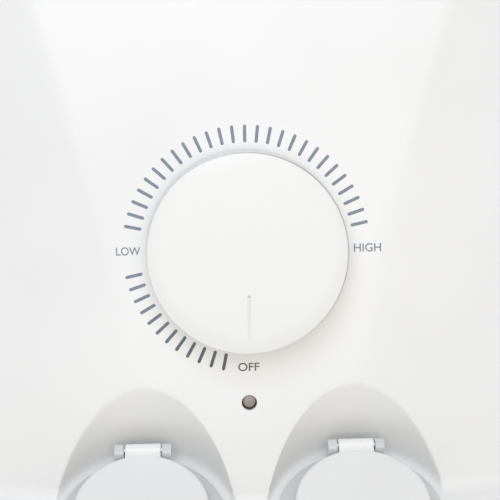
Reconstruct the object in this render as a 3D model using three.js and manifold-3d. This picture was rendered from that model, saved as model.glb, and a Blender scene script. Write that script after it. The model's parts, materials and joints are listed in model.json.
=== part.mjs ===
// Boot and glove dryer: a moulded housing with a sloping dial console, two telescopic boot tubes
// on the top deck and two capped glove outlets in round recesses under the console.
// Millimetres, +X right, +Y towards the back, +Z up. The origin is on the floor, under the middle.
import * as THREE from "three";
import { mergeVertices } from "three/addons/utils/BufferGeometryUtils.js";
import Module from "manifold-3d";

const wasm = await Module();
wasm.setup();

// ---------------------------------------------------------------- driving dimensions
const GAP = 0.3; // between pieces that rest on each other
const WALL = 2.6; // moulded wall thickness

const HALF_WIDTH = 150;
const FRONT_Y = -118;
const BACK_Y = 114;
const CORNER = 30; // radius of the upright corners
const FOOT_H = 6;
const SEAM_Z = 42; // where the base tray meets the housing
const LEDGE_Z = 70; // the low front deck
const LEDGE_EDGE = 10; // radius along the front deck's edge
const TOP_Z = 222;
const TOP_EDGE = 12; // radius round the top deck
const SIDE_DRAFT = 0.06; // how much each side leans in per mm of height

const TILT = THREE.MathUtils.degToRad(35); // the console leans back this far from upright
const DIAL = { y: -20, z: 140 }; // where the dial's axis meets the console
const RECESS = { x: 36, y: -78, r: 32 }; // round recess over each glove outlet
const BOOT_PORT = { x: 92, y: 75 };

const KNOB_R = 32;
const KNOB_H = 16.5;
const LAMP_DOWN = 51; // from the dial's axis down the slope to the lamp hole
const LAMP_HOLE_R = 2.5;
const CONTROL_BACK = -13.6; // the board side of the speed control, its posts and the lamp holder
const BOARD_T = 1.6;

const FAN = { x: 0, z: 142, front: 46, back: 86 }; // blower scroll, its axis along Y
const HEATER = { x: 36, y: 66, w: 48, d: 38, z0: 62.7, z1: 89 };
const PLENUM = { x: 120, y0: -106, y1: 104, z0: 8.9, z1: 60 };
const INTAKE = { z: 142, w: 116, h: 96 };
const INLET = { x: -45, z: 76 };

const BOOT_TUBE = { bore: 20.3, r: 22.1, z0: 206, z1: 330 };
const EXTENSION = { bore: 18.2, r: 19.4, z0: 232, z1: 376 };
const HEAD = { bore: 19.7, r: 22.4, z0: 352, dome: 384 };
const RING = { r: 25.5, z0: 322, z1: 340 };
const OUTLET = { bore: 18, r: 20.8, top: 79, flange: 28 }; // glove outlet
const CAP_R = 22;
const HINGE = { y: RECESS.y + 24.5, z: OUTLET.top + 1.6 };

// ---------------------------------------------------------------- solids and meshes
function solid(geometry) {
  const bare = geometry.index ? geometry.toNonIndexed() : geometry.clone();
  bare.deleteAttribute("normal");
  bare.deleteAttribute("uv");
  const merged = mergeVertices(bare, 1e-4);
  return new wasm.Manifold(
    new wasm.Mesh({
      numProp: 3,
      vertProperties: merged.attributes.position.array,
      triVerts: new Uint32Array(merged.index.array),
    }),
  );
}

function geometryOf(shape) {
  const mesh = shape.getMesh();
  return new THREE.BufferGeometry()
    .setAttribute("position", new THREE.BufferAttribute(mesh.vertProperties, 3))
    .setIndex(new THREE.BufferAttribute(mesh.triVerts, 1));
}

const joined = (shapes) => shapes.reduce((a, b) => a.add(b));
const cut = (shape, ...cutters) => cutters.reduce((a, b) => a.subtract(b), shape);

function box(x0, x1, y0, y1, z0, z1) {
  const g = new THREE.BoxGeometry(x1 - x0, y1 - y0, z1 - z0);
  return solid(g.translate((x0 + x1) / 2, (y0 + y1) / 2, (z0 + z1) / 2));
}

// A block centred on x, y, between two heights.
const block = (x, y, w, d, z0, z1) => box(x - w / 2, x + w / 2, y - d / 2, y + d / 2, z0, z1);

// A round profile of [radius, height] points turned about the upright line at x, y.
function turned(profile, x = 0, y = 0, steps = 32) {
  const points = profile.map(([r, z]) => new THREE.Vector2(r, z));
  points.push(points[0].clone());
  const g = new THREE.LatheGeometry(points, steps);
  return solid(g.rotateX(Math.PI / 2).translate(x, y, 0));
}

const rod = (r, z0, z1, x = 0, y = 0, steps = 32) =>
  turned([[0, z0], [r, z0], [r, z1], [0, z1]], x, y, steps);
const pipe = (r, bore, z0, z1, x = 0, y = 0, steps = 32) =>
  turned([[bore, z0], [r, z0], [r, z1], [bore, z1]], x, y, steps);

// Anything made upright, laid down so that its own +Z points to the back.
const LAID = new THREE.Matrix4().makeRotationX(-Math.PI / 2);
const laid = (shape, x, z) => {
  const m = new THREE.Matrix4().makeTranslation(x, 0, z).multiply(LAID);
  return solid(geometryOf(shape).applyMatrix4(m));
};

// The console's own frame: x right, y up the slope, z out of it, with its origin on the dial's axis.
const CONSOLE = new THREE.Matrix4()
  .makeTranslation(0, DIAL.y, DIAL.z)
  .multiply(new THREE.Matrix4().makeRotationX(Math.PI / 2 - TILT));
const onConsole = (shape) => solid(geometryOf(shape).applyMatrix4(CONSOLE));

// ---------------------------------------------------------------- outlines
// Rounds the corners [x, y, radius] of a polygon that runs anticlockwise; a radius of 0 stays sharp.
function rounded(corners, steps = 4) {
  const out = [];
  corners.forEach(([x, y, r], i) => {
    if (r === 0) {
      out.push([x, y]);
      return;
    }
    const p = new THREE.Vector2(x, y);
    const toward = (c) => new THREE.Vector2(c[0], c[1]).sub(p).normalize();
    const a = toward(corners.at(i - 1));
    const b = toward(corners[(i + 1) % corners.length]);
    const half = a.angleTo(b) / 2;
    const centre = a.clone().add(b).normalize().multiplyScalar(r / Math.sin(half)).add(p);
    const start = a.clone().multiplyScalar(r / Math.tan(half)).add(p).sub(centre);
    const turn = Math.PI - 2 * half;
    for (let k = 0; k <= steps; k++) {
      const q = start.clone().rotateAround(new THREE.Vector2(), (turn * k) / steps);
      out.push([centre.x + q.x, centre.y + q.y]);
    }
  });
  return out;
}

// Skins a stack of [height, outline] levels whose outlines have the same number of points.
function loft(levels) {
  const n = levels[0][1].length;
  const position = levels.flatMap(([z, outline]) => outline.flatMap(([x, y]) => [x, y, z]));
  const index = [];
  for (let i = 0; i + 1 < levels.length; i++)
    for (let j = 0; j < n; j++) {
      const [a, b] = [i * n + j, i * n + ((j + 1) % n)];
      index.push(a, b, b + n, a, b + n, a + n);
    }
  const cap = (level) =>
    THREE.ShapeUtils.triangulateShape(level[1].map(([x, y]) => new THREE.Vector2(x, y)), []);
  for (const [a, b, c] of cap(levels[0])) index.push(c, b, a);
  const last = (levels.length - 1) * n;
  for (const [a, b, c] of cap(levels.at(-1))) index.push(last + a, last + b, last + c);
  const g = new THREE.BufferGeometry();
  g.setAttribute("position", new THREE.Float32BufferAttribute(position, 3));
  return solid(g.setIndex(index));
}

// An outline of [x, y] points pushed up from one height to another.
const slab = (outline, z0, z1) => loft([[z0, outline], [z1, outline]]);

function roundRect(w, d, r, x = 0, y = 0, steps = 3) {
  const [a, b] = [w / 2, d / 2];
  return rounded([[x - a, y - b, r], [x + a, y - b, r], [x + a, y + b, r], [x - a, y + b, r]], steps);
}

const footprint = (inset) =>
  rounded([
    [inset - HALF_WIDTH, FRONT_Y + inset, CORNER - inset],
    [HALF_WIDTH - inset, FRONT_Y + inset, CORNER - inset],
    [HALF_WIDTH - inset, BACK_Y - inset, CORNER - inset],
    [inset - HALF_WIDTH, BACK_Y - inset, CORNER - inset],
  ]);

// ---------------------------------------------------------------- housing shape
const consoleY = (z) => DIAL.y + (z - DIAL.z) * Math.tan(TILT);

// Half the width of the console's flat middle, which opens out up the slope.
function creaseX(z) {
  const s = (z - DIAL.z) / Math.cos(TILT);
  return 45.6 + 0.235 * s + 0.0006 * s * s;
}

// How fast the console's sides fall back beyond the crease: hardly at its foot, more at its top.
const flare = (z) => 0.12 + 0.2 * THREE.MathUtils.clamp((z - 95) / (TOP_Z - 95), 0, 1);

function towerOutline(z, inset, frontY) {
  const x = HALF_WIDTH - Math.max(0, z - LEDGE_Z) * SIDE_DRAFT - inset;
  const w = creaseX(z);
  const sideY = frontY + flare(z) * (x - w);
  const r = CORNER - inset;
  return rounded([
    [-w, frontY, 0], [w, frontY, 0], [x, sideY, r],
    [x, BACK_Y - inset, r], [-x, BACK_Y - inset, r], [-x, sideY, r],
  ]);
}

// The tower behind the console, taken in by inset on every side.
function tower(inset) {
  const front = (z) => consoleY(z) + inset / Math.cos(TILT);
  const levels = [60, 90, 120, 160].map((z) => [z, towerOutline(z, inset, front(z))]);
  const edge = TOP_EDGE - inset;
  const bendZ = TOP_Z - TOP_EDGE + edge * Math.sin(TILT);
  const bendY = front(bendZ) + edge * Math.cos(TILT);
  for (const degrees of [0, 35, 62, 90]) {
    const a = THREE.MathUtils.degToRad(degrees);
    const z = TOP_Z - TOP_EDGE + edge * Math.sin(a);
    const y = a < TILT ? front(z) : bendY - edge * Math.cos(a);
    levels.push([z, towerOutline(z, inset + edge * (1 - Math.cos(a)), y)]);
  }
  return loft(levels);
}

// The block under the front deck.
function plinth(inset, z0) {
  const edge = LEDGE_EDGE - inset;
  const levels = [[z0, footprint(inset)]];
  for (const degrees of [0, 45, 90]) {
    const a = THREE.MathUtils.degToRad(degrees);
    const z = LEDGE_Z - LEDGE_EDGE + edge * Math.sin(a);
    levels.push([z, footprint(inset + edge * (1 - Math.cos(a)))]);
  }
  return loft(levels);
}

const sides = [["left", -1], ["right", 1]];
const recesses = (r, z0) => joined(sides.map(([, s]) => rod(r, z0, 160, s * RECESS.x, RECESS.y, 48)));

const SCREWS = [[-132, -88], [132, -88], [-132, 84], [132, 84]];
const BOARD_POSTS = [[-27, -22], [27, -22], [-27, 14], [27, 14]];

function upperHousing() {
  const outer = cut(tower(0).add(plinth(0, SEAM_Z + 0.4)), recesses(RECESS.r, LEDGE_Z));
  const inner = cut(tower(WALL).add(plinth(WALL, SEAM_Z - 5)), recesses(RECESS.r + WALL, LEDGE_Z - WALL));
  const posts = SCREWS.map(([x, y]) => {
    const web = box(Math.min(x, x * 1.12), Math.max(x, x * 1.12), y - 1.2, y + 1.2, 50, LEDGE_Z - 1);
    return rod(6, 50, LEDGE_Z - 1, x, y, 16).add(web).intersect(outer);
  });
  const pilots = SCREWS.map(([x, y]) => rod(2.1, 40, 64, x, y, 12));
  const boardPosts = onConsole(joined(BOARD_POSTS.map(([x, y]) => rod(3.2, CONTROL_BACK, -1, x, y, 12))));
  const boardPilots = onConsole(joined(BOARD_POSTS.map(([x, y]) => rod(1.3, -20, -5, x, y, 8))));
  const bootHoles = sides.map(([, s]) => rod(24.4, 200, 230, s * BOOT_PORT.x, BOOT_PORT.y));
  const gloveHoles = sides.map(([, s]) => rod(21.6, 60, 80, s * RECESS.x, RECESS.y));
  const bushHole = onConsole(rod(3.9, -6, 6, 0, 0, 24));
  const lampHole = onConsole(rod(LAMP_HOLE_R, -6, 6, 0, -LAMP_DOWN, 32));
  const [w, h] = [INTAKE.w / 2, INTAKE.h / 2];
  const intakeHole = box(-w, w, BACK_Y - 8, BACK_Y + 8, INTAKE.z - h, INTAKE.z + h);
  const inletHole = box(INLET.x - 14, INLET.x + 14, BACK_Y - 8, BACK_Y + 8, INLET.z - 8, INLET.z + 8);
  return cut(
    joined([cut(outer, inner), ...posts, boardPosts]),
    ...pilots, boardPilots, ...bootHoles, ...gloveHoles, bushHole, lampHole, intakeHole, inletHole,
  );
}

const FEET = [
  ["front_left", -112, -84], ["front_right", 112, -84],
  ["rear_left", -112, 80], ["rear_right", 112, 80],
];

function baseTray() {
  const toe = 6; // radius along the bottom edge
  const shell = (inset, z0, z1) => {
    const edge = toe - inset;
    const levels = [90, 45, 0].map((degrees) => {
      const a = THREE.MathUtils.degToRad(degrees);
      return [z0 + edge * (1 - Math.sin(a)), footprint(inset + edge * (1 - Math.cos(a)))];
    });
    return loft([...levels, [z1, footprint(inset)]]);
  };
  const body = cut(shell(0, FOOT_H, SEAM_Z), shell(WALL, FOOT_H + WALL, SEAM_Z + 1));
  const lip = cut(
    slab(footprint(WALL + GAP), SEAM_Z - 5, SEAM_Z + 5),
    slab(footprint(WALL + GAP + 1.8), SEAM_Z - 6, SEAM_Z + 6),
  );
  const ribs = slab(footprint(WALL - 0.4), SEAM_Z - 5, SEAM_Z - 3).subtract(
    slab(footprint(WALL + GAP + 1.8), SEAM_Z - 6, SEAM_Z),
  );
  const posts = SCREWS.map(([x, y]) => rod(6, FOOT_H + 1, 49.7, x, y, 16));
  const shanks = SCREWS.map(([x, y]) => rod(2.3, 0, 60, x, y, 12));
  const heads = SCREWS.map(([x, y]) => rod(4.2, 0, FOOT_H + 6, x, y, 12));
  const pegs = FEET.map(([, x, y]) => rod(3.3, 0, 20, x, y, 12));
  return cut(joined([body, lip, ribs, ...posts]), ...shanks, ...heads, ...pegs);
}

const foot = (x, y) =>
  turned(
    [[0, 0], [10.5, 0], [12, 1.5], [12, FOOT_H - GAP], [3, FOOT_H - GAP], [3, 8.4], [0, 8.4]],
    x, y, 20,
  );

const trayScrew = (x, y) =>
  turned([[0, 8.3], [3.6, 8.3], [3.6, 11.6], [1.8, 11.6], [1.8, 60], [0, 62]], x, y, 12);

// ---------------------------------------------------------------- dial
const bendArc = (cx, cz, r, from, to, steps) =>
  Array.from({ length: steps + 1 }, (_, i) => {
    const a = THREE.MathUtils.degToRad(from + ((to - from) * i) / steps);
    return [cx + r * Math.cos(a), cz + r * Math.sin(a)];
  });

function controlKnob() {
  const edge = 3.6;
  const profile = [
    [3.2, 5.6], [6, 5.6], [6, 12], [KNOB_R - 2.6, 12], [KNOB_R - 2.6, 0.8], [KNOB_R + 0.8, 0.8],
    ...bendArc(KNOB_R - edge, KNOB_H - 0.4 - edge, edge, 0, 84, 4),
    [16, KNOB_H - 0.1], [0, KNOB_H], [0, 14], [3.2, 14],
  ];
  const pointer = box(-0.55, 0.55, -28.5, -15, KNOB_H - 0.9, KNOB_H + 2);
  return turned(profile, 0, 0, 64).subtract(pointer);
}

const controlShaft = () => rod(2.9, -12, 13.7, 0, 0, 24).subtract(box(-4, 4, 1.6, 4, 6, 20));

// Potentiometer: a round can with a threaded bush through the console.
const speedControl = () =>
  pipe(8.5, 3.2, CONTROL_BACK, -WALL - GAP, 0, 0, 20).add(pipe(3.5, 3.2, -4, 5.2, 0, 0, 20));

const controlWasher = () => pipe(6.4, 3.8, GAP, 0.9, 0, 0, 20);

function controlNut() {
  const hex = turned([[0, 1.1], [5.8, 1.1], [5.8, 2.3], [0, 2.3]], 0, 0, 6);
  return hex.subtract(rod(3.8, 0, 4, 0, 0, 24));
}

const controlBoard = () => cut(
  slab(roundRect(66, 76, 3, 0, -18), CONTROL_BACK - GAP - BOARD_T, CONTROL_BACK - GAP),
  ...BOARD_POSTS.map(([x, y]) => rod(1.6, -20, -10, x, y, 8)),
);

function boardScrew(x, y) {
  const seat = CONTROL_BACK - GAP - BOARD_T - GAP;
  return turned([[0, seat - 2.2], [2.6, seat - 2.2], [2.6, seat], [1, seat], [1, -8], [0, -8]], x, y, 8);
}

const lamp = () => turned(
  [[0, -9], [2.1, -9], [2.1, -2.4], ...bendArc(0, -2.4, 2.1, 15, 75, 4), [0, -0.3]],
  0, -LAMP_DOWN, 24,
);
const lampHolder = () => pipe(3.6, 2.3, CONTROL_BACK, -3.4, 0, -LAMP_DOWN, 24);

function heatSink() {
  const fins = [-9, -3, 3, 9].map((y) => box(-12, 12, y - 0.8, y + 0.8, -31, -17));
  return joined([box(-12, 12, -10, 10, -18, -15.8), ...fins]).translate([16, -2, 0]);
}
const capacitor = () => rod(6, -30, -15.8, -18, -32, 24);
const terminalBlock = () => {
  const ways = [-8, 0, 8].map((x) => box(x - 2.4, x + 2.4, -4, 20, -27, -22));
  return cut(box(-13, 13, -6, 6, -29, -15.8), ...ways).translate([-14, 2, 0]);
};

// ---------------------------------------------------------------- blower
// The scroll's wall as [x, z] points round the fan: it opens steadily, then drops straight as the outlet.
function scrollOutline(grow) {
  const out = [];
  const outlet = { x0: 13 - grow, x1: 59 + grow, z: HEATER.z1 + GAP + 2 - FAN.z - grow };
  for (let degrees = -62; degrees >= -360; degrees -= 15) {
    const t = (-62 - degrees) / 298;
    const r = 43 + 16 * t + grow;
    const a = THREE.MathUtils.degToRad(degrees);
    out.push([r * Math.cos(a), r * Math.sin(a)]);
  }
  out.push([outlet.x1, 0], [outlet.x1, outlet.z], [outlet.x0, outlet.z]);
  return out.reverse();
}

// Points given as [x, z] pushed from one depth to another.
function alongY(outline, y0, y1) {
  const flat = outline.map(([x, z]) => [x, -z]).reverse();
  return laid(slab(flat, y0, y1), FAN.x, FAN.z);
}

const aboutFan = (shape) => laid(shape, FAN.x, FAN.z);

function blowerCasing() {
  const hollow = alongY(scrollOutline(0), FAN.front + 2, FAN.back).add(
    box(13, 59, FAN.front + 2, FAN.back, HEATER.z1 - 4, 100),
  );
  const shell = alongY(scrollOutline(2), FAN.front, FAN.back - 2.3).subtract(hollow);
  return shell.subtract(aboutFan(rod(6, FAN.front - 4, FAN.front + 4, 0, 0, 24)));
}

const blowerCover = () => cut(
  alongY(scrollOutline(2), FAN.back - 2, FAN.back).add(aboutFan(pipe(31, 28, FAN.back - 1, FAN.back + 5))),
  aboutFan(rod(28, FAN.back - 6, FAN.back + 8)),
);

function impeller() {
  const [y0, y1] = [FAN.front + 4.5, FAN.back - 6];
  const plate = rod(37, y0, y0 + 1.6);
  const hub = rod(6, y0, y0 + 16, 0, 0, 24);
  const ring = pipe(37, 34.5, y1 - 2, y1);
  const blades = Array.from({ length: 20 }, (_, i) => {
    const blade = new THREE.BoxGeometry(9, 0.9, y1 - y0 - 1).rotateZ(0.5);
    return solid(blade.translate(32, 0, (y0 + y1) / 2).rotateZ((i * Math.PI) / 10));
  });
  return aboutFan(joined([plate, hub, ring, ...blades]).subtract(rod(1.9, y0 - 2, y0 + 20, 0, 0, 16)));
}

const motor = () => aboutFan(
  turned([
    [2.2, 14], [19, 14], [19, 40.7], [8, 40.7], [8, FAN.front - 1.6], [2.2, FAN.front - 1.6],
  ]),
);
const motorShaft = () => aboutFan(rod(1.6, 12, FAN.front + 19, 0, 0, 16));

function motorBracket() {
  const plate = pipe(24, 8.4, 41, 43.4, 0, 0, 32);
  const arms = [0, 1, 2].map((i) => {
    const arm = new THREE.BoxGeometry(14, 8, 2.4).translate(28, 0, 42.2);
    return solid(arm.rotateZ(0.5 + (i * 2 * Math.PI) / 3));
  });
  const legs = [0, 1, 2].map((i) => {
    const leg = new THREE.CylinderGeometry(2.5, 2.5, 4, 16).rotateX(Math.PI / 2).translate(32, 0, 43.6);
    return solid(leg.rotateZ(0.5 + (i * 2 * Math.PI) / 3));
  });
  return aboutFan(joined([plate, ...arms, ...legs]));
}

// ---------------------------------------------------------------- heater and air box
const heaterFrame = () => cut(
  block(HEATER.x, HEATER.y, HEATER.w, HEATER.d, HEATER.z0, HEATER.z1),
  block(HEATER.x, HEATER.y, HEATER.w - 4, HEATER.d - 4, HEATER.z0 - 1, HEATER.z1 + 1),
);

function heaterElement() {
  const core = block(HEATER.x, HEATER.y, 40, 31, HEATER.z0 + 4, HEATER.z1 - 4);
  const slots = [-15, -9, -3, 3, 9, 15].map((x) =>
    block(HEATER.x + x, HEATER.y, 3.4, 26, HEATER.z0, HEATER.z1));
  return cut(core, ...slots);
}

const thermalCutout = () => {
  const can = rod(7, 0, 5, 0, 0, 24).add(box(-9, 9, -3, 3, 0, 1.4));
  const turn = new THREE.Matrix4().makeTranslation(HEATER.x, HEATER.y - HEATER.d / 2 - GAP, 77)
    .multiply(new THREE.Matrix4().makeRotationX(Math.PI / 2));
  return solid(geometryOf(can).applyMatrix4(turn));
};

const plenumMid = (PLENUM.y0 + PLENUM.y1) / 2;
const plenumDepth = PLENUM.y1 - PLENUM.y0;

function plenumTray() {
  const rim = roundRect(2 * PLENUM.x, plenumDepth, 12, 0, plenumMid);
  const room = roundRect(2 * PLENUM.x - 4, plenumDepth - 4, 10, 0, plenumMid);
  return cut(slab(rim, PLENUM.z0, PLENUM.z1), slab(room, PLENUM.z0 + 2, PLENUM.z1 + 5));
}

function plenumCover() {
  const rim = roundRect(2 * PLENUM.x, plenumDepth, 12, 0, plenumMid);
  const risers = sides.map(([, s]) => rod(21.2, 50, 80, s * BOOT_PORT.x, BOOT_PORT.y));
  const stubs = sides.map(([, s]) => rod(18, 50, 80, s * RECESS.x, RECESS.y));
  const inlet = block(HEATER.x, HEATER.y, HEATER.w - 4, HEATER.d - 4, 50, 80);
  return cut(slab(rim, PLENUM.z1 + GAP, PLENUM.z1 + 2.4), ...risers, ...stubs, inlet);
}

const riser = (x) => pipe(24.2, 21.2, PLENUM.z1 + 2.7, 205.4, x, BOOT_PORT.y, 24);

// ---------------------------------------------------------------- boot tubes
const portCollar = (x) => turned(
  [[22.5, 205.8], [24.1, 205.8], [24.1, TOP_Z + GAP], [27, TOP_Z + GAP], [27, TOP_Z + 2.4],
    [26, TOP_Z + 3.6], [22.5, TOP_Z + 3.6]],
  x, BOOT_PORT.y,
);

const bootTube = (x) => pipe(BOOT_TUBE.r, BOOT_TUBE.bore, BOOT_TUBE.z0, BOOT_TUBE.z1, x, BOOT_PORT.y);

// Sliding tube with a guide ring round its foot.
function extensionTube(x) {
  const { bore, r, z0, z1 } = EXTENSION;
  const guide = BOOT_TUBE.bore - 0.4;
  return turned(
    [[bore, z0], [guide, z0], [guide, z0 + 4], [r, z0 + 5], [r, z1], [bore, z1]],
    x, BOOT_PORT.y,
  );
}

// Twist ring that grips the extension.
function lockRing(x) {
  const { r, z0, z1 } = RING;
  const [lip, sleeve, step] = [EXTENSION.r + 0.6, BOOT_TUBE.r + 0.4, BOOT_TUBE.z1 + 0.4];
  const ring = turned(
    [[lip, step], [sleeve, step], [sleeve, z0], [r, z0], [r, z1 - 2], [r - 1.5, z1], [lip, z1]],
    x, BOOT_PORT.y,
  );
  const grips = Array.from({ length: 12 }, (_, i) => {
    const a = (i * Math.PI) / 6;
    const [gx, gy] = [(r + 0.5) * Math.cos(a), (r + 0.5) * Math.sin(a)];
    return rod(1.5, z0 - 4, z1 + 2, x + gx, BOOT_PORT.y + gy, 8);
  });
  return cut(ring, ...grips);
}

// Turning outlet head: a blind cap with an open mouth at the front and slots round its dome.
function tubeHead(x) {
  const { bore, r, z0, dome } = HEAD;
  const [inner, seat] = [r - 2.2, EXTENSION.z1 + 0.4];
  const shell = turned(
    [[bore, z0], [r, z0], [r, dome], ...bendArc(0, dome, r, 15, 75, 3), [0, dome + r],
      [0, dome + r - 2], ...bendArc(0, dome, inner, 75, 15, 3), [inner, seat], [bore, seat]],
    x, BOOT_PORT.y, 28,
  );
  const slots = [-44, -22, 0, 22, 44].map((degrees) => {
    const slot = new THREE.BoxGeometry(4.5, 20, 22).translate(0, -18, dome + 7);
    return solid(slot.rotateZ(THREE.MathUtils.degToRad(degrees)).translate(x, BOOT_PORT.y, 0));
  });
  return cut(shell, ...slots);
}

// ---------------------------------------------------------------- glove outlets
function glovePort(x) {
  const { bore, r, top, flange } = OUTLET;
  const foot = PLENUM.z1 + 2.8;
  const stub = turned(
    [[bore, foot], [r + 0.4, foot], [r + 0.4, LEDGE_Z + GAP], [flange, LEDGE_Z + GAP],
      [flange, LEDGE_Z + 2], [flange - 1, LEDGE_Z + 3], [r, LEDGE_Z + 3], [r, top], [bore, top]],
    x, RECESS.y,
  );
  const ears = [-8, 8].map((dx) => {
    const [y0, y1] = [RECESS.y + CAP_R - 0.2, HINGE.y + 2.4];
    const ear = box(x + dx - 1.6, x + dx + 1.6, y0, y1, LEDGE_Z + 2.5, HINGE.z + 1.9);
    return ear.subtract(rod(bore, 60, 100, x, RECESS.y));
  });
  const pinHole = acrossX(1.5, x - 12, x + 12);
  return cut(joined([stub, ...ears]), pinHole);
}

// A rod along X at the cap's hinge.
function acrossX(r, x0, x1) {
  const g = new THREE.CylinderGeometry(r, r, x1 - x0, 16).rotateZ(Math.PI / 2);
  return solid(g.translate((x0 + x1) / 2, HINGE.y, HINGE.z));
}

function portCap(x) {
  const foot = OUTLET.top + GAP;
  const disc = turned(
    [[0, foot], [CAP_R, foot], [CAP_R, foot + 1.5], [CAP_R - 1, foot + 2.3], [0, foot + 2.7]],
    x, RECESS.y,
  );
  const tab = block(x, RECESS.y - CAP_R - 1, 10, 6, foot, foot + 1.5);
  const arm = block(x, RECESS.y + CAP_R, 12, 5, foot, foot + 2.1);
  const barrel = acrossX(2.2, x - 6, x + 6);
  return joined([disc, tab, arm, barrel]).subtract(acrossX(1.5, x - 12, x + 12));
}

const capPin = (x) => acrossX(1.1, x - 9.6, x + 9.6);

// ---------------------------------------------------------------- intake and mains inlet
function intakeGrille() {
  const [w, h] = [INTAKE.w / 2, INTAKE.h / 2];
  const face = (grow, r) => roundRect(INTAKE.w + grow, INTAKE.h + grow, r);
  const bezel = alongBack(face(10, 8), BACK_Y + GAP, BACK_Y + 4);
  const skirt = alongBack(face(-1, 2), 98, BACK_Y + 1).subtract(alongBack(face(-5, 1), 90, BACK_Y + GAP));
  const slots = Array.from({ length: 10 }, (_, i) => {
    const z = INTAKE.z - h + 9 + i * 8.7;
    return box(-w + 8, w - 8, BACK_Y - 2, BACK_Y + 8, z - 2.2, z + 2.2);
  });
  return cut(bezel.add(skirt), ...slots);
}

function alongBack(outline, y0, y1) {
  const flat = outline.map(([x, z]) => [x, -z]).reverse();
  return laid(slab(flat, y0, y1), 0, INTAKE.z);
}

const filterFoam = () => box(-54, 54, 101, 109, INTAKE.z - 44, INTAKE.z + 44);

function powerInlet() {
  const at = (outline, y0, y1) => laid(slab(outline, y0, y1), INLET.x, INLET.z);
  const flange = at(roundRect(34, 21, 4), BACK_Y + GAP, BACK_Y + 2.4);
  const can = at(roundRect(27, 15, 3), 92, BACK_Y + 1);
  const socket = at(roundRect(18.4, 9, 4.4), 100, BACK_Y + 6);
  const pins = [-4.3, 4.3].map((x) => laid(rod(1.2, 98, BACK_Y - 2, x, 0, 16), INLET.x, INLET.z));
  return joined([cut(flange.add(can), socket), ...pins]);
}

// ---------------------------------------------------------------- inner leads
// An insulated lead through the points of a loose route.
function lead(points, r = 1.5) {
  const path = new THREE.CatmullRomCurve3(points.map((p) => new THREE.Vector3(...p)));
  const section = new THREE.Shape();
  section.absarc(0, 0, r, 0, 2 * Math.PI);
  const along = { steps: 16, curveSegments: 4, extrudePath: path, bevelEnabled: false };
  return solid(new THREE.ExtrudeGeometry(section, along));
}

const inletLead = () => lead([
  [INLET.x, 91.7, INLET.z], [-48, 66, INLET.z], [-52, 24, 88], [-40, 12, 112], [-26, 8, 124],
]);

// ---------------------------------------------------------------- materials
const finish = (color, roughness, metalness = 0) =>
  new THREE.MeshStandardMaterial({ color, roughness, metalness });
const FINISH = {
  shell: finish(0xf4f5f3, 0.35),
  knob: finish(0xf6f6f4, 0.3),
  tube: finish(0xe6e8e8, 0.4),
  rubber: finish(0x3a3c3f, 0.85),
  steel: finish(0xb9bcc0, 0.3, 1),
  dark: finish(0x2c2e31, 0.55),
  lens: finish(0x9a948c, 0.2),
  board: finish(0x2f6b46, 0.6),
  foam: finish(0x55585c, 0.95),
  ceramic: finish(0xd9d4c8, 0.6),
};

// ---------------------------------------------------------------- assembly
const dryer = new THREE.Group();
const consoleGroup = new THREE.Group();
consoleGroup.applyMatrix4(CONSOLE);
dryer.add(consoleGroup);

function add(name, shape, material, parent = dryer) {
  const mesh = new THREE.Mesh(geometryOf(shape), material);
  mesh.name = name;
  parent.add(mesh);
}

add("upper_housing", upperHousing(), FINISH.shell);
add("base_tray", baseTray(), FINISH.shell);
for (const [name, x, y] of FEET) add(`foot_${name}`, foot(x, y), FINISH.rubber);
SCREWS.forEach(([x, y], i) => add(`tray_screw_${i + 1}`, trayScrew(x, y), FINISH.steel));

add("control_knob", controlKnob(), FINISH.knob, consoleGroup);
add("control_shaft", controlShaft(), FINISH.steel, consoleGroup);
add("speed_control", speedControl(), FINISH.steel, consoleGroup);
add("control_washer", controlWasher(), FINISH.steel, consoleGroup);
add("control_nut", controlNut(), FINISH.steel, consoleGroup);
add("control_board", controlBoard(), FINISH.board, consoleGroup);
BOARD_POSTS.forEach(([x, y], i) =>
  add(`board_screw_${i + 1}`, boardScrew(x, y), FINISH.steel, consoleGroup));
add("indicator_lamp", lamp(), FINISH.lens, consoleGroup);
add("lamp_holder", lampHolder(), FINISH.dark, consoleGroup);
add("heat_sink", heatSink(), FINISH.steel, consoleGroup);
add("capacitor", capacitor(), FINISH.dark, consoleGroup);
add("terminal_block", terminalBlock(), FINISH.dark, consoleGroup);

add("blower_casing", blowerCasing(), FINISH.dark);
add("blower_cover", blowerCover(), FINISH.dark);
add("impeller", impeller(), FINISH.dark);
add("motor", motor(), FINISH.steel);
add("motor_shaft", motorShaft(), FINISH.steel);
add("motor_bracket", motorBracket(), FINISH.steel);
add("heater_frame", heaterFrame(), FINISH.ceramic);
add("heater_element", heaterElement(), FINISH.steel);
add("thermal_cutout", thermalCutout(), FINISH.dark);
add("plenum_tray", plenumTray(), FINISH.tube);
add("plenum_cover", plenumCover(), FINISH.tube);

for (const [side, s] of sides) {
  const bootX = s * BOOT_PORT.x;
  const gloveX = s * RECESS.x;
  add(`riser_duct_${side}`, riser(bootX), FINISH.tube);
  add(`port_collar_${side}`, portCollar(bootX), FINISH.tube);
  add(`boot_tube_${side}`, bootTube(bootX), FINISH.tube);
  add(`extension_tube_${side}`, extensionTube(bootX), FINISH.tube);
  add(`lock_ring_${side}`, lockRing(bootX), FINISH.dark);
  add(`tube_head_${side}`, tubeHead(bootX), FINISH.tube);
  add(`glove_port_${side}`, glovePort(gloveX), FINISH.tube);
  add(`port_cap_${side}`, portCap(gloveX), FINISH.shell);
  add(`cap_pin_${side}`, capPin(gloveX), FINISH.steel);
}

add("intake_grille", intakeGrille(), FINISH.tube);
add("filter_foam", filterFoam(), FINISH.foam);
add("power_inlet", powerInlet(), FINISH.dark);
add("inlet_lead", inletLead(), FINISH.dark);

export default dryer;
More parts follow.
